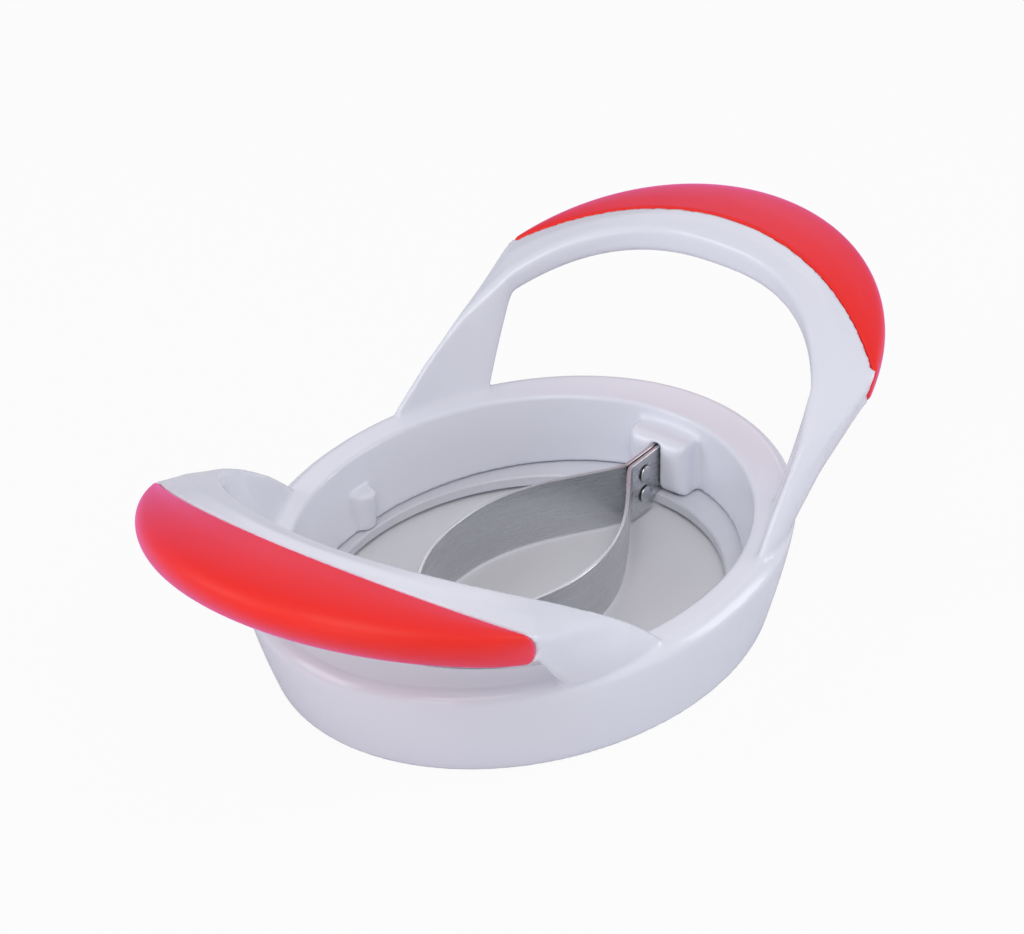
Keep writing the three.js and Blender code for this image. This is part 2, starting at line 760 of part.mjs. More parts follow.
// Assembly
const materials = {
  white: new THREE.MeshStandardMaterial({ color: 0xe9e8ef, roughness: 0.28, metalness: 0 }),
  clamp: new THREE.MeshStandardMaterial({ color: 0xdedee6, roughness: 0.45, metalness: 0 }),
  plate: new THREE.MeshStandardMaterial({ color: 0xe4e5ea, roughness: 0.4, metalness: 0 }),
  grip: new THREE.MeshStandardMaterial({ color: 0xe8303c, roughness: 0.55, metalness: 0 }),
  blade: new THREE.MeshStandardMaterial({ color: 0xc9ccd1, roughness: 0.3, metalness: 1 }),
  rivet: new THREE.MeshStandardMaterial({ color: 0xb9bcc2, roughness: 0.35, metalness: 1 }),
  screw: new THREE.MeshStandardMaterial({ color: 0xa9acb2, roughness: 0.4, metalness: 1 }),
  foot: new THREE.MeshStandardMaterial({ color: 0x6d6f75, roughness: 0.8, metalness: 0 }),
};
const pitter = new THREE.Group();

function addPiece(parent, name, geometry, material, x = 0, y = 0, z = 0) {
  geometry.computeVertexNormals();
  const piece = new THREE.Mesh(geometry, material);
  piece.name = name;
  piece.position.set(x, y, z);
  parent.add(piece);
}

const splitter = new THREE.Group();
addPiece(splitter, 'handle_frame', geometryOf(frameForm()), materials.white);
addPiece(splitter, 'soft_grip_left', geometryOf(gripForm(-1)), materials.grip);
addPiece(splitter, 'soft_grip_right', geometryOf(gripForm(1)), materials.grip);
addPiece(splitter, 'clamp_ring', geometryOf(clampForm()), materials.clamp);
addPiece(splitter, 'pit_blade_front', geometryOf(bladeForm(-1)), materials.blade);
addPiece(splitter, 'pit_blade_rear', geometryOf(bladeForm(1)), materials.blade);
for (const { name, x, z } of rivetPlaces) {
  addPiece(splitter, `blade_rivet_${name}`, rivetGeometry(), materials.rivet, x, 0, z);
}
for (const { name, x, y } of screwPlaces) {
  addPiece(splitter, `clamp_screw_${name}`, geometryOf(screwForm()), materials.screw, x, y);
}
pitter.add(splitter);

const base = new THREE.Group();
addPiece(base, 'base_plate', geometryOf(plateForm()), materials.plate);
for (const [end, sideX] of [['left', -1], ['right', 1]]) {
  for (const [row, sideY] of [['front', -1], ['rear', 1]]) {
    const foot = bar(footRadius, 0, footHeight);
    addPiece(base, `base_foot_${end}_${row}`, foot, materials.foot, sideX * footX, sideY * footY);
  }
}
pitter.add(base);

export default pitter;
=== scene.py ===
import json
import math

import bpy
from mathutils import Matrix, Vector

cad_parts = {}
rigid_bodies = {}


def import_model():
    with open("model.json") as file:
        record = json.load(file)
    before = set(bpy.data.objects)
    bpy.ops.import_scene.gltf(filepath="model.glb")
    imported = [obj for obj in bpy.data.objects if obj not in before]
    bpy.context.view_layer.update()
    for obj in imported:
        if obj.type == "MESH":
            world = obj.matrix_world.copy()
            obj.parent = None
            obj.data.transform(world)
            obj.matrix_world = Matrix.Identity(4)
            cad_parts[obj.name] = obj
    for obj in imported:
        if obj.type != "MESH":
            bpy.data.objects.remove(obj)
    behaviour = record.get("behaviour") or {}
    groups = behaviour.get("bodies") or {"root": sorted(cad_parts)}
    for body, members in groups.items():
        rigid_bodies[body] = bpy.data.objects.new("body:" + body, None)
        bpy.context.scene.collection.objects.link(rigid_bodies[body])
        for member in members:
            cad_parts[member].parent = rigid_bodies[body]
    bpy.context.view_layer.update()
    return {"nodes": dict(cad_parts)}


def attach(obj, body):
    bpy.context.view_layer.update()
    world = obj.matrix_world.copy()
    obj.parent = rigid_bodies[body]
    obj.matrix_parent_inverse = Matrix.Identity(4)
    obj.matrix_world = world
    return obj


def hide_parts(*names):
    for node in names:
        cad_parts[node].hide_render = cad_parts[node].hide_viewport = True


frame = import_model()
print("frame loaded:", len(frame["nodes"]), "nodes")

mm = 0.001
circle = 2 * math.pi
samePoint = 0.001 * mm  # points nearer than this are merged
sameFace = 0.1 * mm  # and points nearer than this count as lying on one face

# Camera, fitted to the photograph: it turns round a point above the middle of the ring
view = {
    "azimuth": -53.25,
    "elevation": 32.52,
    "roll": -0.52,
    "distance": 1074.995 * mm,
    "right": 1.43 * mm,
    "up": 33.32 * mm,
    "pixelsPerUnit": 4921.9,  # focal length in pixels of the photograph
    "middleX": 528.6,  # pixel that the camera's axis goes through
    "middleY": 463.2,
    "photoWidth": 1024,
    "photoHeight": 934,
    "sensor": 36,
    "clipEnd": 20,
}


def makeCamera():
    azimuth, elevation, roll = (math.radians(view[key]) for key in ("azimuth", "elevation", "roll"))
    back = Vector((
        math.sin(azimuth) * math.cos(elevation),
        -math.cos(azimuth) * math.cos(elevation),
        math.sin(elevation),
    ))
    level = Vector((math.cos(azimuth), math.sin(azimuth), 0))
    upright = back.cross(level)
    right = level * math.cos(roll) + upright * math.sin(roll)
    up = upright * math.cos(roll) - level * math.sin(roll)
    place = back * view["distance"] + level * view["right"] + upright * view["up"]
    bpy.ops.object.camera_add()
    camera = bpy.context.object
    camera.matrix_world = Matrix.Translation(place) @ Matrix((right, up, back)).transposed().to_4x4()
    camera.data.sensor_width = view["sensor"]
    camera.data.lens = view["pixelsPerUnit"] / view["photoWidth"] * view["sensor"]
    camera.data.shift_x = (view["photoWidth"] / 2 - view["middleX"]) / view["photoWidth"]
    camera.data.shift_y = (view["middleY"] - view["photoHeight"] / 2) / view["photoWidth"]
    camera.data.clip_end = view["clipEnd"]
    bpy.context.scene.camera = camera


makeCamera()
print("camera set")


# Selecting, modifiers and other steps that every piece shares
def pickOnly(*pieces):
    if bpy.context.object and bpy.context.object.mode != "OBJECT":
        bpy.ops.object.mode_set(mode="OBJECT")
    bpy.ops.object.select_all(action="DESELECT")
    for piece in pieces:
        piece.select_set(True)
    bpy.context.view_layer.objects.active = pieces[0]


def named(name):
    piece = bpy.context.object
    piece.name = name
    piece.data.name = name
    return piece


def settle(piece):
    pickOnly(piece)
    bpy.ops.object.transform_apply(location=True, rotation=True, scale=True)


def finishWith(piece, kind, **settings):
    pickOnly(piece)
    modifier = piece.modifiers.new(kind.title(), kind)
    for key, value in settings.items():
        setattr(modifier, key, value)
    bpy.ops.object.modifier_apply(modifier=modifier.name)


def cutOrJoin(piece, operation, *tools):
    for tool in tools:
        finishWith(piece, "BOOLEAN", operation=operation, object=tool, solver="EXACT")
        bpy.data.objects.remove(tool)


def selectEdges(piece, test):
    pickOnly(piece)
    bpy.ops.object.mode_set(mode="EDIT")
    bpy.ops.mesh.select_mode(type="EDGE")
    bpy.ops.mesh.select_all(action="DESELECT")
    bpy.ops.object.mode_set(mode="OBJECT")
    points = piece.data.vertices
    for edge in piece.data.edges:
        edge.select = all(test(points[i].co) for i in edge.vertices)
    bpy.ops.object.mode_set(mode="EDIT")


def smoothBy(piece, degrees):
    pickOnly(piece)
    bpy.ops.object.shade_smooth_by_angle(angle=math.radians(degrees))


# Oval walls, extruded band by band from one circle: each band is (half length, half width, height)
def ovalShell(name, bands, sides):
    bpy.ops.object.select_all(action="DESELECT")
    long, wide, height = bands[0]
    bpy.ops.mesh.primitive_circle_add(vertices=sides, radius=1, location=(0, 0, height))
    shell = named(name)
    bpy.ops.object.mode_set(mode="EDIT")
    bpy.ops.transform.resize(value=(long, wide, 1), center_override=(0, 0, height))
    for nextLong, nextWide, nextHeight in bands[1:]:
        bpy.ops.mesh.extrude_edges_move(TRANSFORM_OT_translate={"value": (0, 0, nextHeight - height)})
        bpy.ops.transform.resize(
            value=(nextLong / long, nextWide / wide, 1), center_override=(0, 0, nextHeight),
        )
        long, wide, height = nextLong, nextWide, nextHeight
    bpy.ops.mesh.select_all(action="SELECT")
    bpy.ops.mesh.select_non_manifold(extend=False)
    bpy.ops.mesh.bridge_edge_loops()
    bpy.ops.mesh.select_all(action="SELECT")
    bpy.ops.mesh.normals_make_consistent(inside=False)
    settle(shell)
    return shell


# A grid wrapped into a closed tube: one row of points for each station, and both ends filled
def wrapGrid(name, stations):
    bpy.ops.object.select_all(action="DESELECT")
    count = len(stations[0])
    bpy.ops.mesh.primitive_grid_add(x_subdivisions=count, y_subdivisions=len(stations) - 1, size=mm)
    tube = named(name)
    for i, vertex in enumerate(tube.data.vertices):
        row, column = divmod(i, count + 1)
        vertex.co = stations[row][column % count]
    bpy.ops.object.mode_set(mode="EDIT")
    bpy.ops.mesh.select_all(action="SELECT")
    bpy.ops.mesh.remove_doubles(threshold=samePoint)
    bpy.ops.mesh.select_all(action="DESELECT")
    bpy.ops.mesh.select_non_manifold(extend=False)
    bpy.ops.mesh.fill_holes(sides=0)
    bpy.ops.mesh.select_all(action="SELECT")
    bpy.ops.mesh.normals_make_consistent(inside=False)
    settle(tube)
    return tube


# Ring: flaring skirt, bevelled rim and sloped mouth
ring = {
    "halfLength": 68.5 * mm,
    "halfWidth": 54.4 * mm,
    "height": 23.8 * mm,
    "bevel": 2.4 * mm,
    "bandLong": 12 * mm,
    "bandWide": 7.6 * mm,
    "mouthDrop": 0.4 * mm,
    "flareLong": 7.2 * mm,
    "flareWide": 4.4 * mm,
    "flarePower": 1.25,
    "wall": 2 * mm,
    "lift": 0.4 * mm,
    "throatLong": 12.4 * mm,
    "throatWide": 11.3 * mm,
    "shelf": 6.9 * mm,
    "sides": 240,
    "skirtSteps": 14,
    "bevelShare": 0.58,  # 0.5 is a straight bevel and 0.71 a quarter round
}
bevelStart = ring["height"] - ring["bevel"]
mouthHalfLength = ring["halfLength"] - ring["bandLong"]
mouthHalfWidth = ring["halfWidth"] - ring["bandWide"]
throatHalfLength = ring["halfLength"] - ring["throatLong"]
throatHalfWidth = ring["halfWidth"] - ring["throatWide"]


def skirtOutside(height, inset=0):
    share = (height - ring["lift"]) / (bevelStart - ring["lift"])
    flare = max(0, 1 - share) ** ring["flarePower"]
    return (
        ring["halfLength"] - ring["flareLong"] * flare - inset,
        ring["halfWidth"] - ring["flareWide"] * flare - inset,
        height,
    )


def makeRing():
    steps = ring["skirtSteps"]
    bands = [skirtOutside(ring["lift"] + (bevelStart - ring["lift"]) * i / steps) for i in range(steps + 1)]
    half = ring["bevel"] * ring["bevelShare"]
    topLong, topWide = ring["halfLength"] - ring["bevel"], ring["halfWidth"] - ring["bevel"]
    bands += [
        (topLong + half, topWide + half, bevelStart + half),
        (topLong, topWide, ring["height"]),
        (mouthHalfLength, mouthHalfWidth, ring["height"] - ring["mouthDrop"]),
        (throatHalfLength, throatHalfWidth, ring["shelf"]),
        skirtOutside(ring["shelf"], ring["wall"]),
        skirtOutside(ring["lift"], ring["wall"]),
    ]
    return ovalShell("ringForm", bands, ring["sides"])


# Loop handles, drawn section by section round the ring's middle
handle = {
    "reach": 4.4 * mm,
    "halfWidth": 51.5 * mm,
    "power": 2.3,
    "topWidth": 7.6 * mm,
    "topHeight": 60 * mm,
    "tipCrown": 1.9 * mm,
    "gripRadius": 74 * mm,
    "gripSlope": 0.71,
    "dropPower": 1.19,
    "lobeTipShare": 0.131,
    "strapDepth": 6 * mm,
    "gripEnd": 38.6,
    "limbLanding": 46,
    "edgeLanding": 68,
    "edgeLandingIn": 4.5 * mm,
    "edgeLandingRise": 4.2 * mm,
    "end": 74,
    "step": 0.9,
    "rootDepth": 6 * mm,
    "limbWallIn": 7.2 * mm,
    "lobeWallIn": 4.6 * mm,
    "limbBulge": 2.4 * mm,
    "limbRootIn": 2.9 * mm,
    "lobeRootIn": 2.6 * mm,
    "noseStart": 44,
    "noseEnd": 70.5,
    "noseSink": 1.2 * mm,
    "drawIn": 2 * mm,
    "drawStart": 48,
    "drawEnd": 62,
    "ridge": 1.6 * mm,
    "ridgeDrop": 1.3 * mm,
    "ridgeAngle": 54,
    "topBulge": 0.5 * mm,
    "crestRound": 1.3 * mm,  # inner edge of the top face at the handle's middle
    "crestRoundEnd": 3.4 * mm,  # and where the limbs run down to the ring
    "softStart": 14,
    "softEnd": 48,
    "edgeRound": 0.35 * mm,
    "edgeRoundEnd": 0.8 * mm,
    "footRound": 1.4 * mm,
    "crestSteps": 7,
}
grip = {
    "bulge": 18.3 * mm,
    "endBulge": 0.3 * mm,
    "bulgePower": 0.85,
    "depth": 12.4 * mm,
    "endDepth": 7 * mm,
    "depthPower": 0.55,
    "keel": 8.6 * mm,
    "endKeel": -1.6 * mm,
    "skin": 2.8 * mm,
    "endRound": 4.5 * mm,
    "endRoundShare": 0.4,
    "shutOff": 0.2 * mm,
    "groove": 0.12 * mm,
    "overrun": 1 * mm,
    # Places round the bulge, as shares of how far it stands out and of the grip's depth
    "bulgeShares": [(0.4, -0.03), (0.76, 0.03), (0.95, 0.17), (1, 0.4), (0.93, 0.68), (0.76, 0.9)],
    "curveSteps": 4,
    "turnSteps": 12,
}
loopHalfLength = ring["halfLength"] + handle["reach"]
gripTip = loopHalfLength + handle["topWidth"]
gripCentre = gripTip - handle["gripRadius"]
gripEnd, limbLanding, edgeLanding, handleEnd = (
    math.radians(handle[key]) for key in ("gripEnd", "limbLanding", "edgeLanding", "end")
)


def lerp(a, b, share):
    return a + (b - a) * share


# How far a value is on its way between two others, from zero to one
def shareOf(value, start, end):
    return min(1, max(0, (value - start) / (end - start)))


def ovalRadius(halfLength, halfWidth, angle, power=2):
    along = abs(math.cos(angle) / halfLength) ** power
    across = abs(math.sin(angle) / halfWidth) ** power
    return (along + across) ** (-1 / power)


def crestLine(angle):
    radius = ovalRadius(loopHalfLength, handle["halfWidth"], angle, handle["power"])
    back = max(0, 1 - radius * math.cos(angle) / loopHalfLength)
    fall = (handle["topHeight"] - ring["height"]) / (1 - handle["lobeTipShare"]) ** handle["dropPower"]
    return radius, handle["topHeight"] - fall * back ** handle["dropPower"]


# Crest with the rounded nose by which the lobe runs out on the rim
def lobeCrest(angle):
    radius, height = crestLine(angle)
    degrees = math.degrees(angle)
    base = ring["height"] - handle["noseSink"]
    nose = shareOf(degrees, handle["noseStart"], handle["noseEnd"])
    drawn = handle["drawIn"] * shareOf(degrees, handle["drawStart"], handle["drawEnd"])
    return radius - drawn, base + max(0, height - base) * math.sqrt(1 - nose * nose)


def gripLine(angle):
    across = gripCentre * math.sin(angle)
    radius = gripCentre * math.cos(angle) + math.sqrt(handle["gripRadius"] ** 2 - across ** 2)
    back = gripTip - radius * math.cos(angle)
    return radius, handle["topHeight"] + handle["tipCrown"] - handle["gripSlope"] * back


# Straight run in plan from one (angle, radius, height) to another
def runBetween(angle, start, end):
    angleA, radiusA, heightA = start
    angleB, radiusB, heightB = end
    towards = radiusA * math.sin(angle - angleA)
    share = towards / (towards + radiusB * math.sin(angleB - angle))
    x = lerp(radiusA * math.cos(angleA), radiusB * math.cos(angleB), share)
    y = lerp(radiusA * math.sin(angleA), radiusB * math.sin(angleB), share)
    return math.hypot(x, y), lerp(heightA, heightB, share)


def gripSizes(angle):
    fade = max(0, math.cos(math.pi / 2 * min(1, angle / gripEnd)))
    return {
        "bulge": lerp(grip["endBulge"], grip["bulge"], fade ** grip["bulgePower"]),
        "depth": lerp(grip["endDepth"], grip["depth"], fade ** grip["depthPower"]),
        "keel": lerp(grip["endKeel"], grip["keel"], fade),
        "lean": grip["endKeel"] * (1 - fade),
        "wallLean": (grip["endKeel"] - grip["skin"]) * (1 - fade),
    }


# Corner points of a handle section: inner foot, crest, edge of the top face and keel
def handleCorners(angle):
    crestRadius, crestHeight = lobeCrest(angle)
    sizes = gripSizes(angle)
    edge = gripLine(angle)
    keel = (edge[0] + sizes["keel"], edge[1] - sizes["depth"])
    foot = (crestRadius, crestHeight - handle["strapDepth"])
    bulge, lean, landed = sizes["bulge"], sizes["lean"], 0
    if angle > gripEnd:
        flush = shareOf(angle, limbLanding, edgeLanding)
        landed = shareOf(angle, gripEnd, limbLanding)
        rimAt = {
            a: ovalRadius(ring["halfLength"], ring["halfWidth"], a) for a in (angle, limbLanding, edgeLanding)
        }
        lobeShare = shareOf(angle, limbLanding, handleEnd)
        wallIn = rimAt[angle] - lerp(handle["limbWallIn"], handle["lobeWallIn"], lobeShare)
        keelHeight = bevelStart - handle["noseSink"]
        endEdge, endSizes = gripLine(gripEnd), gripSizes(gripEnd)
        endKeel = (endEdge[0] + endSizes["keel"], endEdge[1] - endSizes["depth"])
        run = (0, crestHeight)
        if angle < edgeLanding:
            rootRadius = rimAt[edgeLanding] - handle["edgeLandingIn"]
            edgeRoot = (rootRadius, ring["height"] + handle["edgeLandingRise"])
            run = runBetween(angle, (gripEnd, *endEdge), (edgeLanding, *edgeRoot))
        ridgeDrop = handle["ridgeDrop"] * shareOf(angle, gripEnd, math.radians(handle["ridgeAngle"]))
        edge = (max(run[0], crestRadius + handle["ridge"]), min(run[1], crestHeight - ridgeDrop))
        keel = (rimAt[angle] - lerp(handle["limbRootIn"], handle["lobeRootIn"], flush), keelHeight)
        if angle < limbLanding:
            keelRoot = (rimAt[limbLanding] - handle["limbRootIn"], keelHeight)
            keel = runBetween(angle, (gripEnd, *endKeel), (limbLanding, *keelRoot))
        bulge = lerp(endSizes["bulge"], handle["limbBulge"], landed) * (1 - flush * flush)
        lean = keel[0] - edge[0]
        footHeight = lerp(
            crestLine(gripEnd)[1] - handle["strapDepth"], ring["height"] - handle["rootDepth"], landed,
        )
        foot = (lerp(crestRadius, wallIn, landed), min(footHeight, crestHeight - 2 * handle["footRound"]))
    return foot, (crestRadius, crestHeight), edge, keel, bulge, lean, landed


roundLimitShare = 0.45  # most of a side that the rounding of one corner takes


# Points that leave a corner round: a short curve from one side of it to the other
def roundCorner(before, corner, after, size, steps=4):
    corner = Vector(corner)
    sides = []
    for other in (before, after):
        towards = Vector(other) - corner
        sides.append(corner + towards * min(size / towards.length, roundLimitShare))
    points = []
    for i in range(steps + 1):
        share = i / steps
        points.append(tuple(sides[0].lerp(corner, share).lerp(corner.lerp(sides[1], share), share)))
    return points


# Smooth curve through a row of points, by a cubic for each pair of neighbours
def curveThrough(points, steps):
    padded = [points[0], *points, points[-1]]
    made = []
    for a, b, c, d in zip(padded, padded[1:], padded[2:], padded[3:]):
        for i in range(steps):
            t = i / steps
            made.append(tuple(
                q + t / 2 * (r - p + t * (2 * p - 5 * q + 4 * r - s + t * (3 * q - p - 3 * r + s)))
                for p, q, r, s in zip(a, b, c, d)
            ))
    return made + [points[-1]]


def handleSection(signed):
    angle = abs(signed)
    foot, crest, edge, keel, bulge, lean, landed = handleCorners(angle)
    shares = grip["bulgeShares"]
    bulgePoints = []
    for i, (outShare, downShare) in enumerate(shares):
        down = lerp(downShare, (i + 1) / (len(shares) + 1), landed)
        bulgePoints.append((edge[0] + bulge * outShare + lean * max(0, down), lerp(edge[1], keel[1], down)))
    soft = shareOf(math.degrees(angle), handle["softStart"], handle["softEnd"])
    crestRound = lerp(handle["crestRound"], handle["crestRoundEnd"], soft)
    edgeRound = lerp(handle["edgeRound"], handle["edgeRoundEnd"], landed)
    crestCurve = roundCorner(foot, crest, edge, crestRound, handle["crestSteps"])
    edgeCurve = roundCorner(crest, edge, bulgePoints[0], edgeRound)
    across = [lerp(a, b, 0.5) for a, b in zip(crestCurve[-1], edgeCurve[0])]
    width = (Vector(edge) - Vector(crest)).length
    middle = (across[0], across[1] + handle["topBulge"] * min(1, width / handle["topWidth"]))
    return [
        *roundCorner(keel, foot, crest, handle["footRound"]),
        *crestCurve,
        middle,
        *edgeCurve,
        *curveThrough([edgeCurve[-1], *bulgePoints, keel], grip["curveSteps"])[1:],
    ]


def placeAt(point, angle, side):
    radius, height = point
    return Vector((side * radius * math.cos(angle), radius * math.sin(angle), height))


def evenAngles(end, step):
    count = math.ceil(end / step)
    return [end * i / count for i in range(-count, count + 1)]


def makeHandle(side):
    angles = evenAngles(handleEnd, math.radians(handle["step"]))
    return wrapGrid("handleForm", [
        [placeAt(point, angle, side) for point in handleSection(angle)] for angle in angles
    ])


# Space outside the grip line, with rounded ends, that parts each soft grip from its handle
def makeGripZone(side, gap):
    end = gripEnd - gap / handle["gripRadius"]
    roundAngle = grip["endRound"] / handle["gripRadius"]
    main = [a for a in evenAngles(end, math.radians(handle["step"])) if abs(a) < end - roundAngle]
    turn = [end - roundAngle * (1 - math.sin(math.pi / 2 * i / grip["turnSteps"]))
            for i in range(grip["turnSteps"] + 1)]
    stations = []
    for signed in [*(-a for a in reversed(turn)), *main, *turn]:
        angle = abs(signed)
        edgeRadius, edgeHeight = gripLine(angle)
        sizes = gripSizes(angle)
        into = min(1, max(0, angle - (end - roundAngle)) / roundAngle)
        fall = (1 - math.sqrt(1 - into * into)) * (grip["overrun"] + grip["endDepth"] * grip["endRoundShare"])
        top = edgeHeight + grip["overrun"] - fall
        bottom = edgeHeight - sizes["depth"] - grip["overrun"] + fall
        far = edgeRadius + sizes["bulge"] + 2 * grip["overrun"]
        leanPerDepth = (sizes["wallLean"] - grip["shutOff"]) / sizes["depth"]
        walls = [edgeRadius + grip["shutOff"] + gap + leanPerDepth * (edgeHeight - z) for z in (top, bottom)]
        section = [(walls[0], top), (far, top), (far, bottom), (walls[1], bottom)]
        stations.append([placeAt(point, signed, side) for point in section])
    return wrapGrid("gripZone", stations)


# Blade anchors, screw bosses and their holes
anchor = {
    "reach": 7 * mm,
    "halfWidth": 7.6 * mm,
    "round": 3 * mm,
    "roundSteps": 8,
    "top": 20.3 * mm,
    "slotHalfWidth": 1.4 * mm,
    "slotTop": 18.9 * mm,
    "bossRadius": 3 * mm,
    "bossHeight": 9 * mm,
    "holeRadius": 1.4 * mm,
    "holeTop": 13.4 * mm,
    "screwRadius": 1.1 * mm,
}
anchorInner = throatHalfLength - anchor["reach"]
screwX = anchorInner + anchor["reach"] / 2
screwY = (anchor["halfWidth"] + anchor["slotHalfWidth"]) / 2
bossY = throatHalfWidth + anchor["screwRadius"]
screwPlaces = {
    "left_rear": (-screwX, screwY),
    "left_front": (-screwX, -screwY),
    "right_rear": (screwX, screwY),
    "right_front": (screwX, -screwY),
    "middle_rear": (0, bossY),
    "middle_front": (0, -bossY),
}


def makeBlock(low, high):
    bpy.ops.object.select_all(action="DESELECT")
    size = [b - a for a, b in zip(low, high)]
    bpy.ops.mesh.primitive_cube_add(size=1, location=[(a + b) / 2 for a, b in zip(low, high)], scale=size)
    block = named("block")
    settle(block)
    return block


def makeBar(radius, low, high, x=0, y=0, sides=48):
    bpy.ops.object.select_all(action="DESELECT")
    bpy.ops.mesh.primitive_cylinder_add(
        vertices=sides, radius=radius, depth=high - low, location=(x, y, (low + high) / 2),
    )
    bar = named("bar")
    settle(bar)
    return bar


def makeAnchor(side):
    low, high = sorted((side * anchorInner, side * (throatHalfLength + grip["overrun"])))
    block = makeBlock((low, -anchor["halfWidth"], ring["shelf"]), (high, anchor["halfWidth"], anchor["top"]))
    selectEdges(block, lambda p: abs(p.x - side * anchorInner) < sameFace)
    bpy.ops.object.mode_set(mode="OBJECT")
    points = block.data.vertices
    for edge in block.data.edges:  # only the two upright corners
        a, b = (points[i].co for i in edge.vertices)
        edge.select = edge.select and abs(a.z - b.z) > mm
    bpy.ops.object.mode_set(mode="EDIT")
    bpy.ops.mesh.bevel(offset=anchor["round"], segments=anchor["roundSteps"])
    bpy.ops.object.mode_set(mode="OBJECT")
    return block


# White body, with the softened edges of a moulding
body = {"voxel": 0.4 * mm, "softenRounds": 2, "skinVoxel": 0.73 * mm}
skin = {"softenFactor": 0.5, "firstRounds": 2, "lastRounds": 1}


# Even mesh with its edges worn round: a fine one gives the form, and a coarser one is laid onto it
def soften(piece, finish):
    pickOnly(piece)
    bpy.ops.object.duplicate()
    form = bpy.context.object
    finishWith(form, "REMESH", mode="VOXEL", voxel_size=finish["voxel"])
    finishWith(form, "SMOOTH", factor=skin["softenFactor"], iterations=finish["softenRounds"])
    finishWith(piece, "REMESH", mode="VOXEL", voxel_size=finish["skinVoxel"])
    finishWith(piece, "SMOOTH", factor=skin["softenFactor"], iterations=skin["firstRounds"])
    finishWith(piece, "SHRINKWRAP", target=form, wrap_method="NEAREST_SURFACEPOINT")
    finishWith(piece, "SMOOTH", factor=skin["softenFactor"], iterations=skin["lastRounds"])
    bpy.data.objects.remove(form)
    pickOnly(piece)
    bpy.ops.object.shade_smooth()


# Name and body of a finished piece, and the CAD nodes it hides; the material slot name it is given is not
# used
def addToTool(piece, name, bodyName, slotName, *nodes):
    piece.name = name
    piece.data.name = name
    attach(piece, bodyName)
    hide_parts(*nodes)
    return piece


def makeBody():
    piece = makeRing()
    for side in (-1, 1):
        loop = makeHandle(side)
        cutOrJoin(loop, "DIFFERENCE", makeGripZone(side, 0))
        cutOrJoin(piece, "UNION", loop)
        cutOrJoin(piece, "UNION", makeAnchor(side))
        boss = makeBar(
            anchor["bossRadius"], ring["shelf"], ring["shelf"] + anchor["bossHeight"], 0, side * bossY,
        )
        cutOrJoin(piece, "UNION", boss)
    for side in (-1, 1):
        low, high = sorted((side * (anchorInner - grip["overrun"]), side * throatHalfLength))
        slot = makeBlock(
            (low, -anchor["slotHalfWidth"], ring["shelf"] - grip["overrun"]),
            (high, anchor["slotHalfWidth"], anchor["slotTop"]),
        )
        cutOrJoin(piece, "DIFFERENCE", slot)
    for x, y in screwPlaces.values():
        hole = makeBar(anchor["holeRadius"], ring["shelf"] - grip["overrun"], anchor["holeTop"], x, y)
        cutOrJoin(piece, "DIFFERENCE", hole)
    soften(piece, body)
    return addToTool(piece, "white_body", "splitter", "white_plastic", "handle_frame")


# Soft grips, worn rounder than the body
gripFinish = {"voxel": 0.25 * mm, "softenRounds": 8, "skinVoxel": 0.34 * mm}


def makeSoftGrip(side, name):
    piece = makeHandle(side)
    cutOrJoin(piece, "INTERSECT", makeGripZone(side, grip["groove"]))
    soften(piece, gripFinish)
    return addToTool(piece, f"{name}_skin", "splitter", "red_grip", name)


whiteBody = makeBody()
print("white body:", len(whiteBody.data.polygons), "faces")
softGrips = [makeSoftGrip(-1, "soft_grip_left"), makeSoftGrip(1, "soft_grip_right")]
print("soft grips:", [len(piece.data.polygons) for piece in softGrips], "faces")


# Rounds the corners of a profile whose points have three numbers, leaving its two ends
def roundProfile(profile, size):
    made = [profile[0]]
    for before, corner, after in zip(profile, profile[1:], profile[2:]):
        made += roundCorner(before, corner, after, size)
    return made + [profile[-1]]


# Round or oval form turned up from a profile of (half length, half width, height)
def turnForm(name, profile, sides, x=0, y=0):
    return wrapGrid(name, [
        [Vector((x + long * math.cos(circle * i / sides), y + wide * math.sin(circle * i / sides), height))
         for i in range(sides)]
        for long, wide, height in profile
    ])


# Pit blade: two bowed strips with a ground edge below, joined at their tails
blade = {
    "thickness": 0.9 * mm,
    "bottom": 3.6 * mm,
    "top": 18.6 * mm,
    "edgeHeight": 3 * mm,
    "seam": 0.4 * mm,
    "pitHalfWidth": 17 * mm,
    "tailFree": 9.6 * mm,
    "roundPower": 2.2,
    "tipPower": 1.3,
    "notchGap": 0.6 * mm,
    "notchRun": 1.2 * mm,
    "steps": 150,
    "rounding": 0.12 * mm,
    "edgeHalfWidth": 0.04 * mm,
    "endGap": 0.1 * mm,
    "holeRadius": 1.4 * mm,
    "holeReach": 3 * mm,
    "holeSides": 32,
    "holeHeights": (9 * mm, 14.4 * mm),
    "smoothAngle": 25,
}
bladeTail = (blade["seam"] + blade["thickness"]) / 2
pitHalfLength = anchorInner - blade["tailFree"]
rivetX = pitHalfLength + blade["tailFree"] / 2


def bowAt(x):
    along = min(1, abs(x) / pitHalfLength)
    bow = (1 - along ** blade["roundPower"]) ** blade["tipPower"]
    return lerp(bladeTail, blade["pitHalfWidth"], bow)


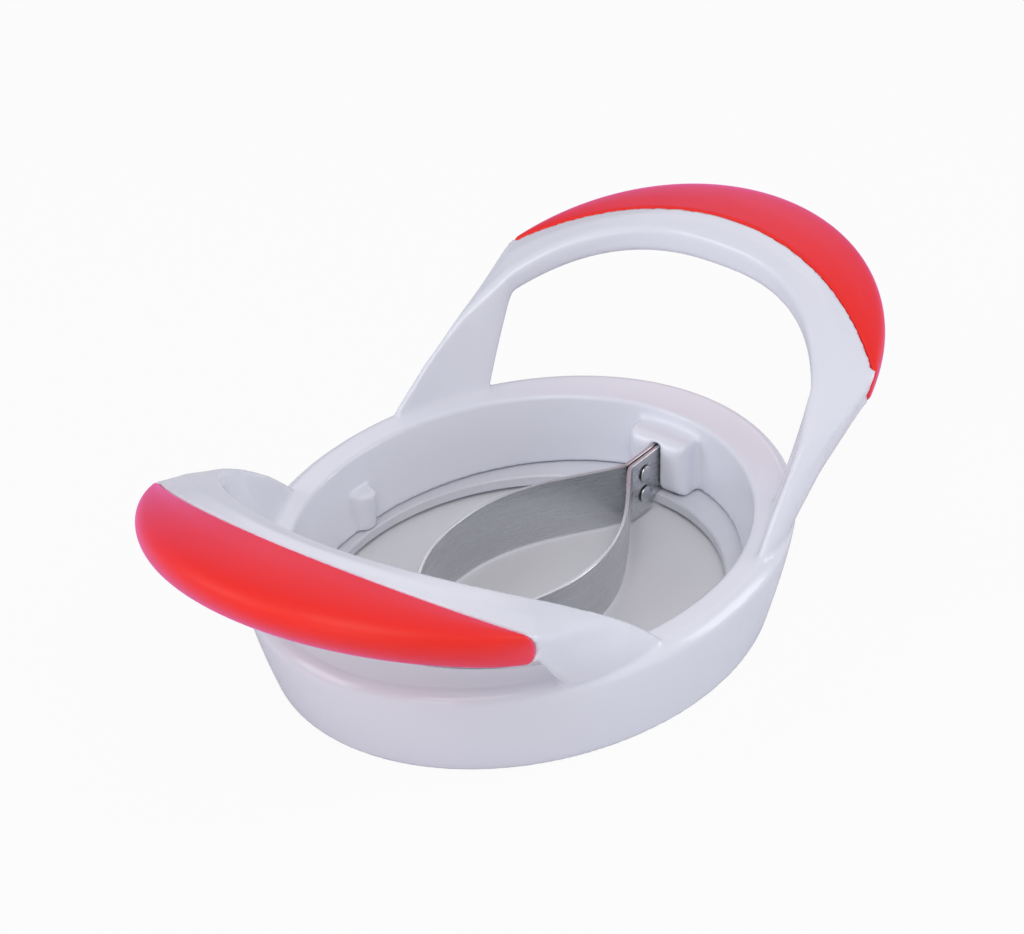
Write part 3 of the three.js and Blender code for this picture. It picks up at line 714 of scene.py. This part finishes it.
def bladeSection(x, side):
    reach = pitHalfLength / blade["steps"]
    slope = (bowAt(x + reach / 2) - bowAt(x - reach / 2)) / reach
    outward = Vector((-slope, 1)).normalized()
    notchEnd = anchorInner - blade["notchGap"]
    notched = shareOf(abs(x), notchEnd - blade["notchRun"], notchEnd)
    bottom = lerp(blade["bottom"], ring["shelf"], notched)
    ground = bottom + lerp(blade["edgeHeight"], blade["rounding"], notched)
    half, bite, edge, top = blade["thickness"] / 2, blade["rounding"], blade["edgeHalfWidth"], blade["top"]
    outline = [
        (half, top - bite), (half - bite, top), (bite - half, top), (-half, top - bite),
        (-half, ground), (-edge, bottom), (edge, bottom), (half, ground),
    ]
    return [
        Vector((x + outward.x * off, side * (bowAt(x) + outward.y * off), height)) for off, height in outline
    ]


def makeBladeStrip(side, name):
    steps = blade["steps"]
    half = [pitHalfLength * math.sin(math.pi / 2 * i / steps) for i in range(steps + 1)]
    notchEnd = anchorInner - blade["notchGap"]
    half += [notchEnd - blade["notchRun"], notchEnd, throatHalfLength - blade["endGap"]]
    places = [-x for x in reversed(half[1:])] + half
    strip = wrapGrid("strip", [bladeSection(x, side) for x in places])
    for end in (-1, 1):
        for height in blade["holeHeights"]:
            hole = turnForm("hole", [
                (blade["holeRadius"], blade["holeRadius"], face * blade["holeReach"]) for face in (-1, 1)
            ], blade["holeSides"])
            hole.rotation_euler = (math.pi / 2, 0, 0)
            hole.location = (end * rivetX, 0, height)
            settle(hole)
            cutOrJoin(strip, "DIFFERENCE", hole)
    smoothBy(strip, blade["smoothAngle"])
    return addToTool(strip, f"blade_strip_{name}", "splitter", "blade_steel", f"pit_blade_{name}")


bladeStrips = [makeBladeStrip(-1, "front"), makeBladeStrip(1, "rear")]

rivet = {
    "radius": 1.1 * mm,
    "head": 2 * mm,
    "seat": 1.4 * mm,
    "rise": 0.7 * mm,
    "flat": 0.02 * mm,  # small flat at the top of the crown
    "seatGap": 0.01 * mm,
    "crownSteps": 7,
    "sides": 40,
    "smoothAngle": 35,
}


def makeRivet(name, x, height):
    crown = []
    for i in range(rivet["crownSteps"] + 1):
        turn = math.pi / 2 * i / rivet["crownSteps"]
        radius = rivet["head"] * math.cos(turn) + rivet["flat"]
        crown.append((radius, radius, rivet["seat"] + rivet["rise"] * math.sin(turn)))
    shank = [(rivet["radius"], rivet["radius"], end * (rivet["seat"] - rivet["seatGap"])) for end in (-1, 1)]
    below = [(long, wide, -z) for long, wide, z in reversed(crown)]
    piece = turnForm("rivet", [*below, *shank, *crown], rivet["sides"])
    piece.rotation_euler = (math.pi / 2, 0, 0)
    piece.location = (x, 0, height)
    settle(piece)
    smoothBy(piece, rivet["smoothAngle"])
    return addToTool(piece, f"rivet_{name}", "splitter", "rivet_steel", f"blade_rivet_{name}")


rivets = [
    makeRivet(f"{end}_{level}", side * rivetX, height)
    for end, side in (("left", -1), ("right", 1))
    for level, height in zip(("low", "high"), blade["holeHeights"])
]
print("blade:", len(bladeStrips), "strips and", len(rivets), "rivets")

# Clamp ring and its screws
clamp = {
    "bottom": 3.9 * mm,
    "top": 6.6 * mm,
    "gap": 0.3 * mm,
    "lip": 1.6 * mm,
    "round": 0.35 * mm,
    "recessRadius": 2.2 * mm,
    "recessTop": 5.4 * mm,
    "smoothAngle": 30,
}
screw = {
    "radius": 1.1 * mm,
    "core": 0.86 * mm,
    "pitch": 0.75 * mm,
    "head": 1.9 * mm,
    "headHeight": 1.2 * mm,
    "headRound": 0.5 * mm,
    "headRoundShare": 0.3,
    "tip": 13.1 * mm,
    "tipLength": 1.1 * mm,
    "tipShare": 0.35,
    "armLength": 1.24 * mm,
    "armHalfWidth": 0.3 * mm,
    "recessDepth": 0.6 * mm,
    "sides": 36,
    "smoothAngle": 35,
}


def makeClampRing():
    long, wide = skirtOutside(clamp["bottom"], ring["wall"] + clamp["gap"])[:2]
    inLong, inWide = anchorInner, throatHalfWidth - clamp["lip"]
    bottom, top, cut = clamp["bottom"], clamp["top"], clamp["round"]
    piece = ovalShell("clampForm", [
        (long - cut, wide - cut, bottom), (long, wide, bottom + cut), (long, wide, top - cut),
        (long - cut, wide - cut, top), (inLong + cut, inWide + cut, top), (inLong, inWide, top - cut),
        (inLong, inWide, bottom + cut), (inLong + cut, inWide + cut, bottom),
    ], ring["sides"])
    for x, y in screwPlaces.values():
        recess = makeBar(clamp["recessRadius"], bottom - grip["overrun"], clamp["recessTop"], x, y)
        cutOrJoin(piece, "DIFFERENCE", recess)
        hole = makeBar(anchor["holeRadius"], bottom, top + grip["overrun"], x, y)
        cutOrJoin(piece, "DIFFERENCE", hole)
    smoothBy(piece, clamp["smoothAngle"])
    return addToTool(piece, "clamp_hoop", "splitter", "clamp_plastic", "clamp_ring")


def makeScrew(name, x, y):
    headTop = clamp["bottom"] + screw["headHeight"]
    cut = screw["headRound"]
    halfCut = cut * screw["headRoundShare"]
    profile = [
        (screw["head"] - cut, clamp["bottom"]), (screw["head"] - halfCut, clamp["bottom"] + halfCut),
        (screw["head"], clamp["bottom"] + cut), (screw["head"], headTop), (screw["core"], headTop),
    ]
    height = headTop + screw["pitch"] / 2
    while height < screw["tip"] - screw["tipLength"] - screw["pitch"]:  # crests and roots of the thread
        profile += [(screw["core"], height), (screw["radius"], height + screw["pitch"] / 2)]
        height += screw["pitch"]
    profile += [(screw["core"], height), (screw["core"], screw["tip"] - screw["tipLength"])]
    profile.append((screw["radius"] * screw["tipShare"], screw["tip"]))
    piece = turnForm("screwForm", [(radius, radius, z) for radius, z in profile], screw["sides"], x, y)
    low, high = clamp["bottom"] - grip["overrun"], clamp["bottom"] + screw["recessDepth"]
    arm, thin = screw["armLength"], screw["armHalfWidth"]
    for spanX, spanY in ((arm, thin), (thin, arm)):
        cutOrJoin(piece, "DIFFERENCE", makeBlock((x - spanX, y - spanY, low), (x + spanX, y + spanY, high)))
    smoothBy(piece, screw["smoothAngle"])
    return addToTool(piece, f"screw_{name}", "splitter", "screw_steel", f"clamp_screw_{name}")


clampHoop = makeClampRing()
screws = [makeScrew(name, x, y) for name, (x, y) in screwPlaces.items()]
print("clamp:", len(screws), "screws")

# Base plate and its feet
plate = {
    "gap": 0.6 * mm,
    "under": 1.4 * mm,
    "floor": 3 * mm,
    "rimWidth": 2.4 * mm,
    "rimTop": 3.6 * mm,
    "rimBottom": 0.5 * mm,
    "round": 0.45 * mm,
    "middleParts": 20,  # its flat faces run in to an oval so many times smaller
    "smoothAngle": 30,
}
foot = {
    "radius": 4.5 * mm,
    "top": 1.1 * mm,
    "round": 0.35 * mm,
    "dimple": 0.25 * mm,
    "dimpleShare": 0.62,
    "share": 0.57,  # place of each foot, as a share of the plate's half length and width
    "middleParts": 4,
    "sides": 64,
    "smoothAngle": 30,
}
plateLong, plateWide = skirtOutside(ring["lift"], ring["wall"] + plate["gap"])[:2]


def makePlate():
    inner = (plateLong - plate["rimWidth"], plateWide - plate["rimWidth"])
    outer = (plateLong, plateWide)
    small = tuple(size / plate["middleParts"] for size in inner)
    profile = roundProfile([
        (*small, plate["under"]), (*inner, plate["under"]), (*inner, plate["rimBottom"]),
        (*outer, plate["rimBottom"]), (*outer, plate["rimTop"]), (*inner, plate["rimTop"]),
        (*inner, plate["floor"]), (*small, plate["floor"]),
    ], plate["round"])
    piece = turnForm("plateForm", profile, ring["sides"])
    smoothBy(piece, plate["smoothAngle"])
    return addToTool(piece, "base_floor", "base", "plate_plastic", "base_plate")


def makeFoot(name, x, y):
    radius, dimple = foot["radius"], foot["dimpleShare"] * foot["radius"]
    middle = dimple / foot["middleParts"]
    flat = [
        (middle, foot["dimple"]), (dimple, foot["dimple"]), (dimple, 0),
        (radius, 0), (radius, foot["top"]), (middle, foot["top"]),
    ]
    profile = roundProfile([(size, size, z) for size, z in flat], foot["round"])
    piece = turnForm("footForm", profile, foot["sides"], x, y)
    smoothBy(piece, foot["smoothAngle"])
    return addToTool(piece, f"foot_pad_{name}", "base", "foot_rubber", f"base_foot_{name}")


baseFloor = makePlate()
footPads = [
    makeFoot(f"{end}_{row}", sideX * foot["share"] * plateLong, sideY * foot["share"] * plateWide)
    for end, sideX in (("left", -1), ("right", 1))
    for row, sideY in (("front", -1), ("rear", 1))
]
print("base:", len(footPads), "feet")


# Floor and light
def newMaterial(name):
    material = bpy.data.materials.new(name)
    material.use_nodes = True
    return material, material.node_tree.nodes, material.node_tree.links


stage = {
    "floorSize": 6,
    "floorColour": (0.74, 0.74, 0.77, 1),
    "floorRoughness": 0.9,
    "floorGlowShare": 0.93,
    "ambient": (0.90, 0.92, 1, 1),
    "ambientStrength": 0.35,
    "aimHeight": 30 * mm,
}


def addMath(nodes, links, operation, *values):
    node = nodes.new("ShaderNodeMath")
    node.operation = operation
    for socket, value in zip(node.inputs, values):
        if isinstance(value, (int, float)):
            socket.default_value = value
        else:
            links.new(value, socket)
    return node.outputs[0]


def makeFloor():
    bpy.ops.object.select_all(action="DESELECT")
    bpy.ops.mesh.primitive_plane_add(size=stage["floorSize"])
    floor = named("floor")
    material, nodes, links = newMaterial("paleFloor")
    shader = nodes["Principled BSDF"]
    shader.inputs["Base Color"].default_value = stage["floorColour"]
    shader.inputs["Roughness"].default_value = stage["floorRoughness"]
    shader.inputs["Specular IOR Level"].default_value = 0
    glow = nodes.new("ShaderNodeEmission")
    path = nodes.new("ShaderNodeLightPath")
    share = addMath(nodes, links, "MULTIPLY", path.outputs["Is Camera Ray"], stage["floorGlowShare"])
    mix = nodes.new("ShaderNodeMixShader")
    links.new(share, mix.inputs["Fac"])
    links.new(shader.outputs[0], mix.inputs[1])
    links.new(glow.outputs[0], mix.inputs[2])
    links.new(mix.outputs[0], nodes["Material Output"].inputs["Surface"])
    floor.data.materials.append(material)


def makeWorld():
    world = bpy.data.worlds.new("studio")
    bpy.context.scene.world = world
    world.use_nodes = True
    nodes, links = world.node_tree.nodes, world.node_tree.links
    ambient = nodes["Background"]
    ambient.inputs["Color"].default_value = stage["ambient"]
    ambient.inputs["Strength"].default_value = stage["ambientStrength"]
    backdrop = nodes.new("ShaderNodeBackground")
    backdrop.inputs["Color"].default_value = (1, 1, 1, 1)
    path = nodes.new("ShaderNodeLightPath")
    seen = addMath(
        nodes, links, "MAXIMUM", path.outputs["Is Camera Ray"], path.outputs["Is Transmission Ray"],
    )
    mix = nodes.new("ShaderNodeMixShader")
    links.new(seen, mix.inputs["Fac"])
    links.new(ambient.outputs[0], mix.inputs[1])
    links.new(backdrop.outputs[0], mix.inputs[2])
    links.new(mix.outputs[0], nodes["World Output"].inputs["Surface"])


lamps = {  # place, size and power of each softbox; all of them face the middle of the tool
    "key": {"place": (-0.6, -0.45, 1.0), "size": 0.7, "power": 5.6, "colour": (1, 0.98, 0.96)},
    "front": {"place": (-0.95, -0.4, 0.24), "size": 0.4, "power": 1.1, "colour": (1, 0.97, 0.95)},
    "left": {"place": (-0.85, 0.65, 0.6), "size": 0.7, "power": 4.3, "colour": (0.94, 0.95, 1)},
    "side": {"place": (0.75, -0.75, 0.35), "size": 0.6, "power": 3.9, "colour": (0.95, 0.96, 1)},
    "back": {"place": (0.9, 0.5, 0.8), "size": 0.8, "power": 1.6, "colour": (1, 0.94, 0.98)},
}


def makeLamps():
    aim = Vector((0, 0, stage["aimHeight"]))
    for name, lamp in lamps.items():
        bpy.ops.object.light_add(type="AREA", location=lamp["place"])
        light = bpy.context.object
        light.name = name
        light.data.size = lamp["size"]
        light.data.energy = lamp["power"]
        light.data.color = lamp["colour"]
        light.rotation_euler = (aim - light.location).to_track_quat("-Z", "Y").to_euler()


makeFloor()
makeWorld()
makeLamps()
bpy.context.scene.view_settings.view_transform = "Standard"


# Shared effects, each a node group that gives out values only
def newGroup(name, inputs, outputs):
    group = bpy.data.node_groups.new(name, "ShaderNodeTree")
    for label, kind, value in inputs:
        socket = group.interface.new_socket(name=label, in_out="INPUT", socket_type=kind)
        socket.default_value = value
    for label, kind in outputs:
        group.interface.new_socket(name=label, in_out="OUTPUT", socket_type=kind)
    return group, group.nodes.new("NodeGroupInput"), group.nodes.new("NodeGroupOutput")


# Noise on the piece's own coordinates, stretched by a scale for each axis
def addNoise(nodes, links, scale, stretch=(1, 1, 1), detail=3, roughness=0.5):
    place = nodes.new("ShaderNodeTexCoord")
    mapping = nodes.new("ShaderNodeMapping")
    mapping.inputs["Scale"].default_value = stretch
    noise = nodes.new("ShaderNodeTexNoise")
    noise.inputs["Detail"].default_value = detail
    noise.inputs["Roughness"].default_value = roughness
    links.new(place.outputs["Object"], mapping.inputs["Vector"])
    links.new(mapping.outputs["Vector"], noise.inputs["Vector"])
    if isinstance(scale, (int, float)):
        noise.inputs["Scale"].default_value = scale
    else:
        links.new(scale, noise.inputs["Scale"])
    return noise.outputs["Fac"]


# Height of a fine moulded grain, and a slow unevenness of the surface
def makeGrainGroup():
    group, given, made = newGroup("mouldedGrain", [
        ("Grain Scale", "NodeSocketFloat", 3000), ("Wave Scale", "NodeSocketFloat", 60),
        ("Wave Share", "NodeSocketFloat", 0.3),
    ], [("Height", "NodeSocketFloat"), ("Patch", "NodeSocketFloat")])
    grain = addNoise(group.nodes, group.links, given.outputs["Grain Scale"])
    wave = addNoise(group.nodes, group.links, given.outputs["Wave Scale"], detail=2)
    lifted = addMath(group.nodes, group.links, "MULTIPLY", wave, given.outputs["Wave Share"])
    total = addMath(group.nodes, group.links, "ADD", grain, lifted)
    group.links.new(total, made.inputs["Height"])
    group.links.new(wave, made.inputs["Patch"])
    return group


# Colour that shifts between two tones over the surface
def makeToneGroup():
    group, given, made = newGroup("slowTone", [
        ("Tone A", "NodeSocketColor", (1, 1, 1, 1)), ("Tone B", "NodeSocketColor", (0.8, 0.8, 0.8, 1)),
        ("Patch", "NodeSocketFloat", 0.5),
    ], [("Colour", "NodeSocketColor")])
    mix = group.nodes.new("ShaderNodeMix")
    mix.data_type = "RGBA"
    group.links.new(given.outputs["Patch"], mix.inputs["Factor"])
    group.links.new(given.outputs["Tone A"], mix.inputs["A"])
    group.links.new(given.outputs["Tone B"], mix.inputs["B"])
    group.links.new(mix.outputs["Result"], made.inputs["Colour"])
    return group


# Long fine scratches of rolled and brushed steel, as height and roughness
scratches = {
    "fineStretch": (120, 120, 5200),
    "fineDetail": 4,
    "broadStretch": (40, 40, 420),
    "broadDetail": 2,
    "low": 0.38,  # range of the scratches that the roughness is spread over
    "high": 0.62,
    "depth": 0.02 * mm,
}


def makeBrushGroup():
    group, given, made = newGroup("brushedSteel", [
        ("Roughness Low", "NodeSocketFloat", 0.22), ("Roughness High", "NodeSocketFloat", 0.42),
    ], [("Height", "NodeSocketFloat"), ("Roughness", "NodeSocketFloat")])
    fine = addNoise(group.nodes, group.links, 1, scratches["fineStretch"], scratches["fineDetail"])
    broad = addNoise(group.nodes, group.links, 1, scratches["broadStretch"], scratches["broadDetail"])
    both = addMath(group.nodes, group.links, "ADD", fine, broad)
    halved = addMath(group.nodes, group.links, "MULTIPLY", both, 0.5)
    ramp = group.nodes.new("ShaderNodeMapRange")
    ramp.inputs["From Min"].default_value = scratches["low"]
    ramp.inputs["From Max"].default_value = scratches["high"]
    group.links.new(halved, ramp.inputs["Value"])
    group.links.new(given.outputs["Roughness Low"], ramp.inputs["To Min"])
    group.links.new(given.outputs["Roughness High"], ramp.inputs["To Max"])
    group.links.new(fine, made.inputs["Height"])
    group.links.new(ramp.outputs["Result"], made.inputs["Roughness"])
    return group


grainGroup = makeGrainGroup()
toneGroup = makeToneGroup()
brushGroup = makeBrushGroup()


def addGroup(nodes, group, values):
    node = nodes.new("ShaderNodeGroup")
    node.node_tree = group
    for socket, value in values.items():
        node.inputs[socket].default_value = value
    return node


def addBump(nodes, links, height, strength, distance):
    bump = nodes.new("ShaderNodeBump")
    bump.inputs["Strength"].default_value = strength
    bump.inputs["Distance"].default_value = distance
    links.new(height, bump.inputs["Height"])
    return bump.outputs["Normal"]


# Finishes: two tones, scales of the grain and of its slow wave, bump, roughness, and plain sockets
finishes = {
    "whitePlastic": {
        "tones": ((0.81, 0.82, 0.895, 1), (0.80, 0.81, 0.885, 1)),
        "grain": 2600, "wave": 45, "waveShare": 0.5,
        "strength": 0.05, "depth": 0.03 * mm, "roughness": (0.16, 0.22),
        "sockets": {"Specular IOR Level": 0.5},
    },
    "clampPlastic": {
        "tones": ((0.72, 0.73, 0.78, 1), (0.68, 0.69, 0.75, 1)),
        "grain": 1800, "wave": 60, "waveShare": 0.4,
        "strength": 0.14, "depth": 0.05 * mm, "roughness": (0.4, 0.5),
        "sockets": {},
    },
    "platePlastic": {
        "tones": ((0.78, 0.785, 0.81, 1), (0.74, 0.75, 0.78, 1)),
        "grain": 1300, "wave": 30, "waveShare": 0.3,
        "strength": 0.22, "depth": 0.06 * mm, "roughness": (0.36, 0.5),
        "sockets": {},
    },
    "softRed": {
        "tones": ((0.93, 0.022, 0.008, 1), (0.90, 0.02, 0.007, 1)),
        "grain": 2200, "wave": 55, "waveShare": 0.35,
        "strength": 0.16, "depth": 0.04 * mm, "roughness": (0.42, 0.54),
        "sockets": {
            "Specular IOR Level": 0.35, "Sheen Weight": 0.85, "Sheen Roughness": 0.42,
            "Sheen Tint": (1, 0.28, 0.85, 1),
        },
    },
    "footRubber": {
        "tones": ((0.10, 0.105, 0.115, 1), (0.075, 0.08, 0.09, 1)),
        "grain": 1500, "wave": 200, "waveShare": 0.4,
        "strength": 0.35, "depth": 0.08 * mm, "roughness": (0.7, 0.85),
        "sockets": {},
    },
}


def mouldedFinish(name):
    finish = finishes[name]
    material, nodes, links = newMaterial(name)
    shader = nodes["Principled BSDF"]
    grain = addGroup(nodes, grainGroup, {
        "Grain Scale": finish["grain"], "Wave Scale": finish["wave"], "Wave Share": finish["waveShare"],
    })
    tone = addGroup(nodes, toneGroup, {"Tone A": finish["tones"][0], "Tone B": finish["tones"][1]})
    links.new(grain.outputs["Patch"], tone.inputs["Patch"])
    links.new(tone.outputs["Colour"], shader.inputs["Base Color"])
    rough = nodes.new("ShaderNodeMapRange")
    rough.inputs["To Min"].default_value, rough.inputs["To Max"].default_value = finish["roughness"]
    links.new(grain.outputs["Patch"], rough.inputs["Value"])
    links.new(rough.outputs["Result"], shader.inputs["Roughness"])
    links.new(
        addBump(nodes, links, grain.outputs["Height"], finish["strength"], finish["depth"]),
        shader.inputs["Normal"],
    )
    for socket, value in finish["sockets"].items():
        shader.inputs[socket].default_value = value
    return material


steels = {
    "bladeSteel": {"colour": (0.60, 0.61, 0.63, 1), "roughness": (0.2, 0.38), "strength": 0.12},
    "rivetSteel": {"colour": (0.52, 0.53, 0.55, 1), "roughness": (0.28, 0.42), "strength": 0.08},
    "screwSteel": {"colour": (0.46, 0.47, 0.49, 1), "roughness": (0.3, 0.46), "strength": 0.08},
}


def steelFinish(name):
    finish = steels[name]
    material, nodes, links = newMaterial(name)
    shader = nodes["Principled BSDF"]
    low, high = finish["roughness"]
    brush = addGroup(nodes, brushGroup, {"Roughness Low": low, "Roughness High": high})
    shader.inputs["Base Color"].default_value = finish["colour"]
    shader.inputs["Metallic"].default_value = 1
    links.new(brush.outputs["Roughness"], shader.inputs["Roughness"])
    links.new(
        addBump(nodes, links, brush.outputs["Height"], finish["strength"], scratches["depth"]),
        shader.inputs["Normal"],
    )
    return material


def dress(material, *pieces):
    for piece in pieces:
        piece.data.materials.clear()
        piece.data.materials.append(material)


dress(mouldedFinish("whitePlastic"), whiteBody)
dress(mouldedFinish("softRed"), *softGrips)
dress(mouldedFinish("clampPlastic"), clampHoop)
dress(mouldedFinish("platePlastic"), baseFloor)
dress(mouldedFinish("footRubber"), *footPads)
dress(steelFinish("bladeSteel"), *bladeStrips)
dress(steelFinish("rivetSteel"), *rivets)
dress(steelFinish("screwSteel"), *screws)
print("finishes set")
